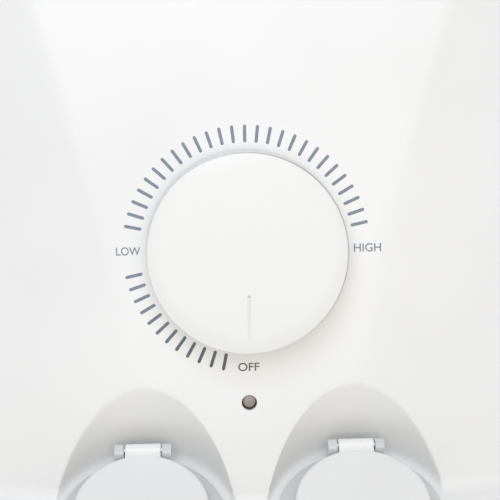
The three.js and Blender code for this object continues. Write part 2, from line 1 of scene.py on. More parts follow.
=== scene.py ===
"""Boot and glove dryer: the finished look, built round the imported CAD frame.

Lengths inside the shape functions are millimetres in the dryer's own frame: +X right, +Y to the back
and +Z up. Meshes are stored in metres.
"""

import json
import math

import bpy
import numpy as np
from mathutils import Matrix, Vector


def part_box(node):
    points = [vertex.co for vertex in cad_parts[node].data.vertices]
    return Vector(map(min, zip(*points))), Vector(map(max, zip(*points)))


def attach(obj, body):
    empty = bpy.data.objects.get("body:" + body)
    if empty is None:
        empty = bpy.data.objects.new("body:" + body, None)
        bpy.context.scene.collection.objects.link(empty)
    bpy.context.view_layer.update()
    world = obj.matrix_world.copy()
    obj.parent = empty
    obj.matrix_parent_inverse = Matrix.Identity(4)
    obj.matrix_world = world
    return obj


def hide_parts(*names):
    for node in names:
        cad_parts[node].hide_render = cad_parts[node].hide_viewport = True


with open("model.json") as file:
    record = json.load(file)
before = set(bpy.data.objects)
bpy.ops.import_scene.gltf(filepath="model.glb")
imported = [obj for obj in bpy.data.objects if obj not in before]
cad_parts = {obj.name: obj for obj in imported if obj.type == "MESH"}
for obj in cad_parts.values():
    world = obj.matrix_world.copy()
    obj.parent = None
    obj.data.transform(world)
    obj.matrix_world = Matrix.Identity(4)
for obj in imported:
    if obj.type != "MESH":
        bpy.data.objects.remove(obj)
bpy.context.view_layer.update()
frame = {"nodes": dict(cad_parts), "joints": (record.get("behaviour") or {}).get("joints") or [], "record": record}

NODES = frame["nodes"]
JOINTS = {joint["name"]: joint for joint in frame["joints"]}
MM = 0.001
SIDES = (("left", -1), ("right", 1))

# ------------------------------------------------------------------ the dryer's dimensions, in mm
WALL = 2.6
HALF_WIDTH = 150.0
FRONT_Y, BACK_Y = -118.0, 114.0
CORNER = 30.0
SEAM_Z = 42.4
LEDGE_Z, LEDGE_EDGE = 70.0, 10.0
TOP_Z, TOP_EDGE = 222.0, 12.0
SIDE_DRAFT = 0.06
LEDGE_REAR = 5.0
LEDGE_FILLET = 3.0
TILT = math.radians(35)
# The console's flat middle is this half width at the dial, and opens by the spread and the curve.
CREASE_X, CREASE_SPREAD, CREASE_CURVE = 45.6, 0.235, 0.0006
# The facets beside it lean back by this slope at FACET_Z, and by the gain more at the top.
FACET_Z, FACET_LEAN, FACET_GAIN = 95.0, 0.12, 0.2
# The front is finely gridded to this half width.
FRONT_HALF = 80.0
RECESS_X, RECESS_Y, RECESS_R = 36.0, -78.0, 32.0
BOOT_X, BOOT_Y = 92.0, 75.0
BOOT_PORT_R, GLOVE_PORT_R = 24.4, 21.6
KNOB_R, KNOB_H = 32.0, 16.5
LAMP_DOWN, LAMP_HOLE_R = 51.1, 2.5

# The console's frame: the dial's axis meets it at DIAL, and CONSOLE's rows are its right, up and out.
DIAL = np.array(JOINTS["knob_turn"]["pos_m"]) / MM
OUT = -np.array(JOINTS["knob_turn"]["axis"])
UP = np.array([0.0, math.sin(TILT), math.cos(TILT)])
CONSOLE = np.array([[1.0, 0.0, 0.0], UP, OUT])


def on_console(points):
    """Points given as (right, up the slope, out) of the dial's centre, in the dryer's frame."""
    return np.asarray(points, float) @ CONSOLE + DIAL


# ------------------------------------------------------------------ meshes
def piece(name, points, faces, material, body, slot=None, stands_for=(), sharp=40):
    """A mesh piece from points in mm and faces, smooth but for edges sharper than `sharp` degrees."""
    mesh = bpy.data.meshes.new(name)
    mesh.from_pydata((np.asarray(points, float) * MM).tolist(), [], faces)
    mesh.update()
    ob = bpy.data.objects.new(name, mesh)
    bpy.context.scene.collection.objects.link(ob)
    mesh.shade_smooth()
    mesh.set_sharp_from_angle(angle=math.radians(sharp))
    if material:
        mesh.materials.append(material)
    if body:
        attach(ob, body)
    if stands_for:
        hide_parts(*stands_for)
    return ob


def skin(rows, columns, start=0, round_trip=True):
    """Quads between neighbouring rows of a grid whose points are numbered row by row."""
    r = np.arange(rows - 1)[:, None]
    c = np.arange(columns if round_trip else columns - 1)[None, :]
    a, b = r * columns + c, r * columns + (c + 1) % columns
    quads = np.stack([a, b, b + columns, a + columns], -1).reshape(-1, 4) + start
    return quads.tolist()


def loft(loops):
    """A closed solid through equal rings of points, listed upwards and each anticlockwise from above."""
    rows, columns = len(loops), len(loops[0])
    last = (rows - 1) * columns
    caps = [list(range(columns))[::-1], list(range(last, last + columns))]
    return np.concatenate(loops), skin(rows, columns) + caps


def turned(profile, steps=96, centre=(0.0, 0.0), shape=None):
    """A profile of (radius, height) turned about an upright line. Points on the line become one pole.

    The profile runs up the outside, and closes on itself or starts and ends on the line. A shape
    function may change each radius with the angle.
    """
    profile = np.asarray(profile, float)
    angle = np.arange(steps) * 2 * math.pi / steps
    closed = profile[0, 0] > 1e-9
    body = profile if closed else profile[1:-1]
    radius = np.repeat(body[:, :1], steps, 1)
    if shape:
        radius = shape(radius, angle)
    rings = radius[:, :, None] * np.stack([np.cos(angle), np.sin(angle)], -1)[None]
    heights = np.broadcast_to(body[:, 1:, None], (len(body), steps, 1))
    points = np.concatenate([rings, heights], -1).reshape(-1, 3)
    faces = skin(len(body), steps)
    top = (len(body) - 1) * steps
    k = np.arange(steps)
    n = (k + 1) % steps
    if closed:
        faces += np.stack([top + k, top + n, n, k], -1).tolist()
    else:
        foot = np.full(steps, len(points))
        points = np.concatenate([points, [[0, 0, profile[0, 1]], [0, 0, profile[-1, 1]]]])
        fans = [np.stack([foot, n, k], -1), np.stack([foot + 1, top + k, top + n], -1)]
        faces += np.stack(fans, 1).reshape(-1, 3).tolist()
    return points + [centre[0], centre[1], 0], faces


def rod(r, z0, z1, x=0.0, y=0.0, steps=48):
    """A plain round bar."""
    return turned([(0, z0), (r, z0), (r, z1), (0, z1)], steps, (x, y))


def arc(centre, radius, start, end, steps):
    """Points of a circular arc between two angles in degrees."""
    a = np.radians(np.linspace(start, end, steps + 1))
    return [(centre[0] + radius * math.cos(t), centre[1] + radius * math.sin(t)) for t in a]


def eased(corners, steps=5):
    """A closed outline through corners (a, b, radius), each corner rounded by an arc of its radius."""
    points = []
    count = len(corners)
    for i, (a, b, r) in enumerate(corners):
        here = np.array([a, b], float)
        if r <= 0:
            points.append(tuple(here))
            continue
        back = np.array(corners[i - 1][:2], float) - here
        ahead = np.array(corners[(i + 1) % count][:2], float) - here
        back, ahead = back / np.linalg.norm(back), ahead / np.linalg.norm(ahead)
        half = math.acos(max(-1.0, min(1.0, float(back @ ahead)))) / 2
        middle = (back + ahead) / np.linalg.norm(back + ahead) * r / math.sin(half) + here
        first = here + back * r / math.tan(half) - middle
        last = here + ahead * r / math.tan(half) - middle
        sweep = math.atan2(first[0] * last[1] - first[1] * last[0], first @ last)
        for t in np.linspace(0, sweep, steps + 1):
            c, s = math.cos(t), math.sin(t)
            points.append(tuple(middle + [c * first[0] - s * first[1], s * first[0] + c * first[1]]))
    return points


def round_box(x0, x1, y0, y1, radius, z, steps=10):
    """A ring of points round a rectangle with rounded corners, at one height."""
    ring = eased([(x0, y0, radius), (x1, y0, radius), (x1, y1, radius), (x0, y1, radius)], steps)
    return np.array([(x, y, z) for x, y in ring])


def plate(outline, low, high, edge=0.5, rounds=4):
    """A slab of a convex outline between two heights, with every edge rounded by the radius edge.

    Each ring is the outline drawn in towards its middle, by edge times one minus the cosine of the
    rounding's angle, while the height follows the sine.
    """
    flat = np.asarray(outline, float)
    middle = (flat.min(0) + flat.max(0)) / 2
    half = (flat.max(0) - flat.min(0)) / 2
    turn = np.linspace(0, math.pi / 2, rounds + 1)
    levels = [(low + edge * (1 - math.sin(a)), edge * (1 - math.cos(a))) for a in turn[::-1]]
    levels += [(high - edge * (1 - math.sin(a)), edge * (1 - math.cos(a))) for a in turn]
    rings = [np.column_stack([middle + (flat - middle) * (1 - take / half), np.full(len(flat), z)])
             for z, take in levels]
    return loft(rings)


def flared(outline, levels):
    """A cutter upright on an outline about the origin, which is larger all round by `grow` at a height."""
    half = outline.max(0)
    return loft([np.column_stack([outline * (1 + grow / half), np.full(len(outline), height)])
                 for height, grow in levels])


def rectangle(width, height, radius, x=0.0, y=0.0, steps=6):
    """The outline of a rectangle about x, y with rounded corners."""
    return round_box(x - width / 2, x + width / 2, y - height / 2, y + height / 2, radius, 0, steps)[:, :2]


def together(parts):
    """The points and faces of several meshes as one."""
    points, faces, start = [], [], 0
    for p, f in parts:
        points.append(np.asarray(p, float))
        faces += [[i + start for i in face] for face in f]
        start += len(p)
    return np.concatenate(points), faces


def laid_back(part, x, z):
    """A mesh made upright about the origin, laid down so that its height runs to the back."""
    p = np.asarray(part[0], float)
    return np.stack([p[:, 0] + x, p[:, 2], z - p[:, 1]], -1), part[1]


def laid_across(part, x, y, z):
    """A mesh made upright about the origin, laid down so that its height runs to the right."""
    p = np.asarray(part[0], float)
    return np.stack([p[:, 2] + x, p[:, 0] + y, p[:, 1] + z], -1), part[1]


def moved(part, x, y, z=0.0, turn=0.0):
    """A mesh turned about the upright line by an angle, then moved."""
    c, s = math.cos(turn), math.sin(turn)
    return np.asarray(part[0], float) @ np.array([[c, s, 0], [-s, c, 0], [0, 0, 1]]) + [x, y, z], part[1]


def cutter(name, points, faces):
    """A hidden mesh that only cuts or joins other pieces."""
    return piece(name, points, faces, None, None)


def boolean(ob, operation, other):
    """Cuts or joins ob with other, keeps the result in ob's own mesh and removes the other."""
    step = ob.modifiers.new(operation, "BOOLEAN")
    step.operation, step.object, step.solver = operation, other, "MANIFOLD"
    graph = bpy.context.evaluated_depsgraph_get()
    graph.update()
    result = bpy.data.meshes.new_from_object(ob.evaluated_get(graph))
    ob.modifiers.clear()
    old, ob.data = ob.data, result
    bpy.data.meshes.remove(old)
    spare = other.data
    bpy.data.objects.remove(other)
    bpy.data.meshes.remove(spare)


def finish_edges(ob, sharp):
    """Smooth shading that keeps the real edges of a cut piece."""
    ob.data.shade_smooth()
    ob.data.set_sharp_from_angle(angle=math.radians(sharp))


# ------------------------------------------------------------------ materials
def linear(hex_colour):
    """An sRGB hex colour as linear red, green, blue and full alpha."""
    srgb = [int(hex_colour[i : i + 2], 16) / 255 for i in (1, 3, 5)]
    return tuple(c / 12.92 if c <= 0.04045 else ((c + 0.055) / 1.055) ** 2.4 for c in srgb) + (1.0,)


def node(tree, kind, settings=None, links=None):
    """Adds one shader node. Settings are its fields or inputs, and links are input: output socket.

    The setting "stops" gives a colour ramp its two (position, hex colour) stops.
    """
    made = tree.nodes.new("ShaderNode" + kind)
    for key, value in (settings or {}).items():
        if key == "stops":
            for element, (position, colour) in zip(made.color_ramp.elements, value):
                element.position, element.color = position, linear(colour)
        elif isinstance(key, str) and hasattr(made, key):
            setattr(made, key, value)
        else:
            made.inputs[key].default_value = value
    feed(tree, made, links or {})
    return made


def feed(tree, made, links):
    """Links output sockets to a node's inputs, given as input: output socket."""
    for key, output in links.items():
        tree.links.new(output, made.inputs[key])


def across(size_mm):
    """The scale of a pattern whose features are about size_mm across."""
    return 1000.0 / size_mm


def blank(name):
    """An empty material with its Principled shader and the piece's own coordinates."""
    material = bpy.data.materials.new(name)
    material.use_nodes = True
    tree = material.node_tree
    tree.nodes.clear()
    shader = node(tree, "BsdfPrincipled")
    output = node(tree, "OutputMaterial", links={"Surface": shader.outputs["BSDF"]})
    output.is_active_output = True
    place = node(tree, "TexCoord").outputs["Object"]
    return material, tree, shader, place


def moulded(name, pale, dark, roughness, grain_mm, grain_depth_mm, ior=1.53, wave_depth_mm=0.012):
    """Injection-moulded plastic: one colour that drifts slightly, with the tool's fine grain in it.

    The grain softens highlights, and slow waves from cooling bend them a little.
    """
    material, tree, shader, place = blank(name)
    drift, cloud, swell, grain = (
        node(tree, "TexNoise", {"Scale": across(size), "Detail": detail}, {"Vector": place}).outputs[0]
        for size, detail in ((60, 2.0), (14, 3.0), (22, 1.0), (grain_mm, 2.0)))
    colour = node(tree, "ValToRGB", {"stops": [(0.35, dark), (0.65, pale)]}, {0: drift})
    polish = node(tree, "MapRange", {"To Min": roughness - 0.04, "To Max": roughness + 0.06},
                  {"Value": cloud})
    waves = node(tree, "Bump", {"Strength": 1.0, "Distance": wave_depth_mm * MM}, {"Height": swell})
    relief = node(tree, "Bump", {"Strength": 1.0, "Distance": grain_depth_mm * MM},
                  {"Height": grain, "Normal": waves.outputs[0]})
    feed(tree, shader, {"Base Color": colour.outputs[0], "Roughness": polish.outputs[0],
                        "Normal": relief.outputs[0]})
    shader.inputs["IOR"].default_value = ior
    return material


def metal(name, pale, dark, roughness, axis=2):
    """Plated or extruded metal: fine lines along one axis that stretch its highlights."""
    material, tree, shader, place = blank(name)
    line_mm, stretch = 0.4, [1.0, 1.0, 1.0]
    stretch[axis] = 0.06
    drawn = node(tree, "Mapping", {"Scale": stretch}, {"Vector": place}).outputs[0]
    lines = node(tree, "TexNoise", {"Scale": across(line_mm), "Detail": 3.0}, {"Vector": drawn}).outputs[0]
    colour = node(tree, "ValToRGB", {"stops": [(0.3, dark), (0.7, pale)]}, {0: lines})
    polish = node(tree, "MapRange", {"To Min": roughness - 0.06, "To Max": roughness + 0.1},
                  {"Value": lines})
    relief = node(tree, "Bump", {"Strength": 0.4, "Distance": 0.01 * MM}, {"Height": lines})
    feed(tree, shader, {"Base Color": colour.outputs[0], "Roughness": polish.outputs[0],
                        "Normal": relief.outputs[0]})
    shader.inputs["Metallic"].default_value = 1.0
    return material


# White ABS from a satin tool: bright and even, with broad soft highlights.
SHELL = moulded("white_abs_satin", "#F4F4F3", "#F1F1F0", 0.36, 0.5, 0.0022)
# White ABS from a finer tool: a little brighter and glossier than the housing.
DIAL_FACE = moulded("white_abs_polished_painted_shade", "#F0F0EE", "#EFEFED", 0.3, 0.45, 0.001, wave_depth_mm=0.002)
# Pale grey polypropylene: waxy and duller.
TUBE = moulded("grey_polypropylene", "#DCDEDE", "#D6D8D8", 0.42, 0.7, 0.006, ior=1.49)
# Black glass-filled nylon: matt, with a coarse spark-eroded grain.
BLACK = moulded("black_nylon", "#26272A", "#1D1E20", 0.55, 0.5, 0.012)
# Black rubber: dull, rough and a little dusty.
RUBBER = moulded("black_rubber", "#34353A", "#28292C", 0.8, 0.9, 0.03, ior=1.52)
# Glass-fibre board under green solder mask: glossy, and mottled by the weave.
BOARD = moulded("green_solder_mask", "#2B6E47", "#205A38", 0.3, 1.2, 0.01)
# Fired steatite and mica: chalky and warm white.
CERAMIC = moulded("steatite", "#DAD4C6", "#CBC4B4", 0.7, 0.6, 0.02, ior=1.6)
ZINC = metal("bright_zinc_plate", "#C9CCD1", "#A9ADB2", 0.3)
ALUMINIUM = metal("extruded_aluminium", "#C8CACC", "#B4B6B9", 0.35, axis=0)
BRASS = metal("turned_brass", "#D8BC7A", "#B8975A", 0.28)


def smoked_lens():
    """Smoked polycarbonate: a polished, cloudy grey-brown bead."""
    material, tree, shader, place = blank("smoked_polycarbonate")
    cloud = node(tree, "TexNoise", {"Scale": across(1.1), "Detail": 3.0}, {"Vector": place}).outputs[0]
    colour = node(tree, "ValToRGB", {"stops": [(0.3, "#8C847C"), (0.7, "#A59D94")]}, {0: cloud})
    polish = node(tree, "MapRange", {"To Min": 0.16, "To Max": 0.26}, {"Value": cloud})
    feed(tree, shader, {"Base Color": colour.outputs[0], "Roughness": polish.outputs[0]})
    shader.inputs["IOR"].default_value = 1.58
    return material


def ink_with_painted_shadow():
    """Pad-printed slate ink: matt and patchy at the grain of the plastic, with painted shadow that darkens it
    towards OFF, below the control.
    """
    material, tree, shader, place = blank("slate_pad_print_with_painted_shadow")
    patchy = {"Scale": across(1.6), "Detail": 4.0, "Roughness": 0.6}
    patches = node(tree, "TexNoise", patchy, {"Vector": place}).outputs[0]
    # The paler ramp is the ink's own tone. The darker ramp is painted shadow, the ink as it looks in the control's
    # shadow, mixed in towards OFF.
    thin, ink_in_painted_shadow = (
        node(tree, "ValToRGB", {"stops": [(0.3, dark), (0.7, pale)]}, {0: patches}).outputs[0]
        for dark, pale in (("#78818F", "#8B93A1"), ("#4E535B", "#5F646B")))
    height = node(tree, "SeparateXYZ", links={"Vector": place}).outputs["Z"]
    low, high = (float(on_console([[0, s, 0]])[0][2]) * MM for s in (-37.0, -14.0))
    painted_shadow_weight = node(tree, "MapRange", {"From Min": low, "From Max": high, "To Min": 1.0, "To Max": 0.0},
                  {"Value": height}).outputs[0]
    colour = node(tree, "MixRGB", links={"Fac": painted_shadow_weight, "Color1": thin, "Color2": ink_in_painted_shadow})
    polish = node(tree, "MapRange", {"To Min": 0.45, "To Max": 0.6}, {"Value": patches})
    feed(tree, shader, {"Base Color": colour.outputs[0], "Roughness": polish.outputs[0]})
    return material


def open_cell_foam():
    """Open-cell polyurethane foam: dark grey, full of pores about a millimetre across."""
    material, tree, shader, place = blank("open_cell_foam")
    pores = node(tree, "TexVoronoi", {"Scale": across(1.3)}, {"Vector": place}).outputs["Distance"]
    colour = node(tree, "ValToRGB", {"stops": [(0.1, "#1F2123"), (0.6, "#5A5E62")]}, {0: pores})
    relief = node(tree, "Bump", {"Strength": 0.9, "Distance": 0.5 * MM}, {"Height": pores})
    feed(tree, shader, {"Base Color": colour.outputs[0], "Normal": relief.outputs[0]})
    shader.inputs["Roughness"].default_value = 0.95
    return material


def paint_rim_and_groove_shade(material):
    """Adds painted shade to the control: a fine grey line on its rim, over half of its turn, and a faint grey in
    its groove.

    The line is where the distance from the dial's axis passes the rim's corner, near the face's
    height, and it fades out where the direction turns away from the upper right, the side turned from the light.
    The groove's grey is a strip along the pointer, between its two ends.
    """
    tree = material.node_tree
    shader = tree.nodes["Principled BSDF"]
    place = tree.nodes["Texture Coordinate"].outputs["Object"]
    plastic = shader.inputs["Base Color"].links[0].from_socket
    centre = tuple(float(v) * MM for v in DIAL)
    from_dial = node(tree, "VectorMath", {"operation": "SUBTRACT", 1: centre}, {0: place}).outputs[0]
    right, up, out = (
        node(tree, "VectorMath", {"operation": "DOT_PRODUCT", 1: tuple(float(v) for v in axis)},
             {0: from_dial}).outputs["Value"]
        for axis in CONSOLE)
    flat = node(tree, "CombineXYZ", links={"X": right, "Y": up}).outputs[0]
    radius = node(tree, "VectorMath", {"operation": "LENGTH"}, {0: flat}).outputs["Value"]
    heading = node(tree, "VectorMath", {"operation": "NORMALIZE"}, {0: flat}).outputs[0]
    upper_right = math.radians(20)
    toward = (math.cos(upper_right), math.sin(upper_right), 0.0)
    facing = node(tree, "VectorMath", {"operation": "DOT_PRODUCT", 1: toward},
                  {0: heading}).outputs["Value"]
    aside = node(tree, "Math", {"operation": "ABSOLUTE"}, {0: right}).outputs[0]
    # Each mask grows from nothing at its first limit to its strength at the second.
    masks = [
        node(tree, "MapRange", {"From Min": start, "From Max": end, "To Max": strength},
             {"Value": value}).outputs[0]
        for value, start, end, strength in (
            (radius, (KNOB_R - 0.5) * MM, (KNOB_R - 0.38) * MM, 1.0),
            (out, 14.7 * MM, 15.0 * MM, 1.0),
            (facing, -0.35, 0.8, 0.6),
            (aside, 0.75 * MM, 0.3 * MM, 0.06),
            (up, -12.9 * MM, -13.2 * MM, 1.0),
            (up, -28.4 * MM, -26.5 * MM, 1.0))]
    rim_and_groove_shades = []
    for a, b, c in (masks[:3], masks[3:]):
        product = node(tree, "Math", {"operation": "MULTIPLY"}, {0: a, 1: b}).outputs[0]
        rim_and_groove_shades.append(node(tree, "Math", {"operation": "MULTIPLY"}, {0: product, 1: c}).outputs[0])
    grey = node(tree, "Math", {"operation": "MAXIMUM"}, {0: rim_and_groove_shades[0], 1: rim_and_groove_shades[1]}).outputs[0]
    # The grey mixed in here is painted shade on the rim and in the pointer groove.
    shaded_plastic = node(tree, "MixRGB", {"Color2": linear("#8E8982")}, {"Fac": grey, "Color1": plastic})
    feed(tree, shader, {"Base Color": shaded_plastic.outputs[0]})


# Painted shade on the control's rim and in its pointer groove.
paint_rim_and_groove_shade(DIAL_FACE)
LENS, INK_WITH_SHADOW, FOAM = smoked_lens(), ink_with_painted_shadow(), open_cell_foam()


# ------------------------------------------------------------------ housing
def greater(a, b, soft):
    """The larger of two surfaces, with a rounded edge where they cross."""
    return 0.5 * (a + b + np.sqrt((a - b) ** 2 + soft**2))


def crease_x(z):
    """Half the width of the console's flat middle, which opens out up the slope."""
    s = (z - DIAL[2]) / math.cos(TILT)
    return CREASE_X + CREASE_SPREAD * s + CREASE_CURVE * s * s


def recess_y(x, inset):
    """The back wall of the round recess at x."""
    r = RECESS_R + inset
    return RECESS_Y + np.sqrt(np.clip(r * r - (np.abs(x) - RECESS_X) ** 2, 0, None))


def front_y(x, z, inset):
    """The front of the tower at x and height z.

    The tilted plane falls back beyond each crease, faster and more crisply up the slope, and it is
    cut by the two round recesses, whose edges are eased. A small fillet joins it to the ledge.
    """
    plane = DIAL[1] + (z - DIAL[2]) * math.tan(TILT) + inset / math.cos(TILT)
    rise = np.clip((z - FACET_Z) / (TOP_Z - FACET_Z), 0, 1)
    past = np.abs(x) - crease_x(z)
    softness = 3.2 - 2.2 * rise**0.5
    lean = FACET_LEAN + FACET_GAIN * rise
    console = plane + lean * 0.5 * (past + np.sqrt(past**2 + softness**2))
    rim_ease = 0.32
    front = greater(console, recess_y(x, inset), rim_ease)
    if inset:
        return front
    low = np.clip((LEDGE_Z + LEDGE_FILLET - z) / LEDGE_FILLET, 0, 1)
    fade = np.clip((126 - np.abs(x)) / 20, 0, 1)
    return front - LEDGE_FILLET * (1 - np.sqrt(1 - low**2)) * fade


def rim_z(x, inset):
    """The height at which a recess's wall meets the console, held a little above the ledge."""
    z = DIAL[2] + (recess_y(x, inset) - DIAL[1] - inset / math.cos(TILT)) / math.tan(TILT)
    return np.clip(z, LEDGE_Z + 4, None)


def tower(inset, columns, below, above):
    """Rings up the tower, from the seam to the top deck.

    Around a ring, columns lie across the front and then follow the rounded corners, the sides and
    the back. Up the front, rows gather at the recess rims, so that the eased edge is finely made.
    Each row is a level, a share of the way below or above the rims, or an angle of the top edge.
    """
    edge = TOP_EDGE - inset
    bend_z = TOP_Z - TOP_EDGE + edge * math.sin(TILT)

    def place(x, kind, value):
        """The front's y and z at x, in one row."""
        if kind == "edge":
            y = front_y(x, np.full_like(x, bend_z), inset) + edge * (math.cos(TILT) - math.cos(value))
            return y, np.full_like(x, TOP_Z - TOP_EDGE + edge * math.sin(value))
        if kind == "level":
            z = np.full_like(x, value)
        elif kind == "below":
            z = LEDGE_Z + LEDGE_FILLET + (rim_z(x, inset) - LEDGE_Z - LEDGE_FILLET) * value
        else:
            z = rim_z(x, inset) + (bend_z - rim_z(x, inset)) * value
        return front_y(x, z, inset), z

    rows = [("level", SEAM_Z - (5 if inset else 0))]
    rows += [("level", LEDGE_Z + step) for step in (-3, 0, 0.3, 1.0, 2.0)]
    rows += [("below", 1 - (1 - t) ** 1.6) for t in np.linspace(0, 1, below, endpoint=False)]
    rows += [("above", t**1.7) for t in np.linspace(0, 1, above, endpoint=False)]
    rows += [("edge", a) for a in np.radians(np.linspace(35, 90, 9))]
    dense = np.linspace(-FRONT_HALF, FRONT_HALF, columns)
    share = np.linspace(0, 1, 9)[1:]
    quarter = np.linspace(0, math.pi / 2, 13)[1:]
    rings = []
    for kind, value in rows:
        z_side = float(place(np.array([130.0]), kind, value)[1][0])
        lean = math.asin(min(1.0, max(0.0, (z_side - TOP_Z + TOP_EDGE) / edge)))
        take = inset + edge * (1 - math.cos(lean))
        x_side = HALF_WIDTH - max(0.0, z_side - LEDGE_Z) * SIDE_DRAFT - take
        r = CORNER - take
        facet = FRONT_HALF + (x_side - r - FRONT_HALF) * share
        corner = x_side - r + r * np.sin(quarter)
        x = np.concatenate([-facet[::-1], dense, facet])
        y, z = place(x, kind, value)
        front = np.stack([x, y, z], -1)
        y, z = place(corner, kind, value)
        turn = np.stack([corner, y + r * (1 - np.cos(quarter)), z], -1)
        y_back = BACK_Y - take
        side = np.linspace(turn[-1, 1], y_back - r, 8)[1:]
        z_end = turn[-1, 2]
        right = [(x_side, v, z_end) for v in side]
        right += [(x_side - r + r * math.cos(a), y_back - r + r * math.sin(a), z_end) for a in quarter]
        rear = [(v, y_back, z_end) for v in np.linspace(x_side - r, r - x_side, 25)[1:-1]]
        half = np.concatenate([turn, np.array(right)])
        mirrored = (half * [-1, 1, 1])[::-1]
        rings.append(np.concatenate([front, half, np.array(rear), mirrored]))
    return loft(rings)


def ledge_block(inset):
    """Rings up the low front block, whose top edge is rounded."""
    edge = LEDGE_EDGE - inset
    levels = [(SEAM_Z - (5 if inset else 0), 0.0)]
    levels += [(LEDGE_Z - LEDGE_EDGE + edge * math.sin(a), edge * (1 - math.cos(a)))
               for a in np.radians(np.linspace(0, 90, 11))]
    rings = []
    for z, take in levels:
        t = inset + take
        rings.append(round_box(-HALF_WIDTH + t, HALF_WIDTH - t, FRONT_Y + t, LEDGE_REAR - t,
                               CORNER - t, z, 14))
    return loft(rings)


def build_housing():
    """The moulded housing: a hollow shell with holes for lamp, outlets, intake and inlet."""
    housing = piece("housing_shell", *tower(0.0, 215, 22, 62), SHELL, "housing")
    boolean(housing, "UNION", cutter("ledge", *ledge_block(0.0)))
    boolean(housing, "DIFFERENCE", cutter("room", *tower(WALL, 120, 12, 26)))
    boolean(housing, "DIFFERENCE", cutter("front_room", *ledge_block(WALL)))
    lip = arc((LAMP_HOLE_R + 0.4, -0.4), 0.4, 180, 105, 6)
    hole = [(0, -9), (LAMP_HOLE_R, -9), *lip, (LAMP_HOLE_R + 0.7, 0.4), (0, 0.4)]
    points, faces = turned(hole, 96)
    boolean(housing, "DIFFERENCE", cutter("lamp_hole", on_console(points - [0, LAMP_DOWN, 0]), faces))
    grille_low, grille_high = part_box("intake_grille")
    inlet_low, inlet_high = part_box("power_inlet")
    ports = []
    for _, sign in SIDES:
        ports.append(rod(BOOT_PORT_R, 205, 230, sign * BOOT_X, BOOT_Y, 96))
        ports.append(rod(GLOVE_PORT_R, 60, 75, sign * RECESS_X, RECESS_Y, 96))
    boolean(housing, "DIFFERENCE", cutter("ports", *together(ports)))
    for low, high, margin in ((grille_low, grille_high, 4.6), (inlet_low, inlet_high, 3.0)):
        x0, x1, z0, z1 = low.x / MM, high.x / MM, low.z / MM, high.z / MM
        window = round_box(x0 + margin, x1 - margin, z0 + margin, z1 - margin, 2.5, 0)
        lower = np.stack([window[:, 0], window[:, 0] * 0 + BACK_Y + 6, window[:, 1]], -1)
        upper = lower - [0, 14, 0]
        boolean(housing, "DIFFERENCE", cutter("window", *loft([lower, upper])))
    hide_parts("upper_housing")
    finish_edges(housing, 40)


build_housing()


# ------------------------------------------------------------------ dial
def build_knob():
    """The control: a hollow turned cap with a nearly flat face, a crisp edge and an engraved line.

    The face falls with the square of the radius. In the last few millimetres a steeper power of the
    distance is added to it, which brings it down to the small rounding of the edge.
    """
    corner, bevel, face, crown, fall = 0.4, 4.6, 27.0, 0.33, 0.45
    slope = 2 * crown * bevel / face
    top = KNOB_H - crown
    profile = [(0, 14.0), (3.2, 14.0), (3.2, 5.6), (6.0, 5.6), (6.0, 12.0), (29.4, 12.0), (29.4, 0.8)]
    profile += [(KNOB_R + 0.6, 0.8), (KNOB_R + 0.8, 1.0)]
    profile += arc((KNOB_R - corner, top - slope - fall - corner), corner, 3, 80, 6)
    profile += [(face + bevel * t, top - slope * t - fall * t**1.6) for t in np.linspace(0.98, 0.0, 14)]
    profile += [(r, KNOB_H - crown * (r / face) ** 2) for r in np.linspace(26, 2, 12)] + [(0, KNOB_H)]
    points, faces = turned(profile, 192)
    knob = piece("control_knob_cap", on_console(points), faces, DIAL_FACE, "dial")
    inner, outer, half, deep, surface = 15.2, 28.2, 0.45, 0.17, KNOB_H - 0.25
    ring = [(half * math.cos(a), -end + half * math.sin(a))
            for end, start in ((inner, 0), (outer, math.pi))
            for a in np.linspace(start, start + math.pi, 13)]
    centre = np.array([(0.0, min(max(v, -outer), -inner)) for _, v in ring])
    loops = []
    for n, grow in ((surface - deep, 0.35), (surface - deep * 0.6, 0.8), (KNOB_H + 0.3, 1.6)):
        loop = centre + (np.array(ring) - centre) * grow
        loops.append(np.column_stack([loop, np.full(len(loop), n)]))
    points, faces = loft(loops)
    boolean(knob, "DIFFERENCE", cutter("pointer", on_console(points), faces))
    dot = [(0, KNOB_H - 0.9), (0.4, KNOB_H - 0.9), (0.55, KNOB_H + 0.3), (0, KNOB_H + 0.3)]
    points, faces = turned(dot, 24)
    boolean(knob, "DIFFERENCE", cutter("dot", on_console(points - [0, 13.6, 0]), faces))
    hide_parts("control_knob")
    finish_edges(knob, 30)


def dial_marks():
    """The printed marks: round-ended bars every six degrees round the control, with gaps for the words."""
    middle, half_length, half_width, thick = 37.94, 2.9, 0.53, 0.03
    straight = half_length - half_width
    cap = np.linspace(-math.pi / 2, math.pi / 2, 9)
    end = np.stack([straight + half_width * np.cos(cap), half_width * np.sin(cap)], -1)
    outline = np.concatenate([end, -end])
    bar = loft([np.column_stack([outline + [middle, 0], np.full(len(outline), n)])
                for n in (-thick, thick)])
    degrees = [*range(12, 169, 6), *range(192, 259, 6)]
    points, faces = together([moved(bar, 0, 0, 0, math.radians(d)) for d in degrees])
    return on_console(points), faces


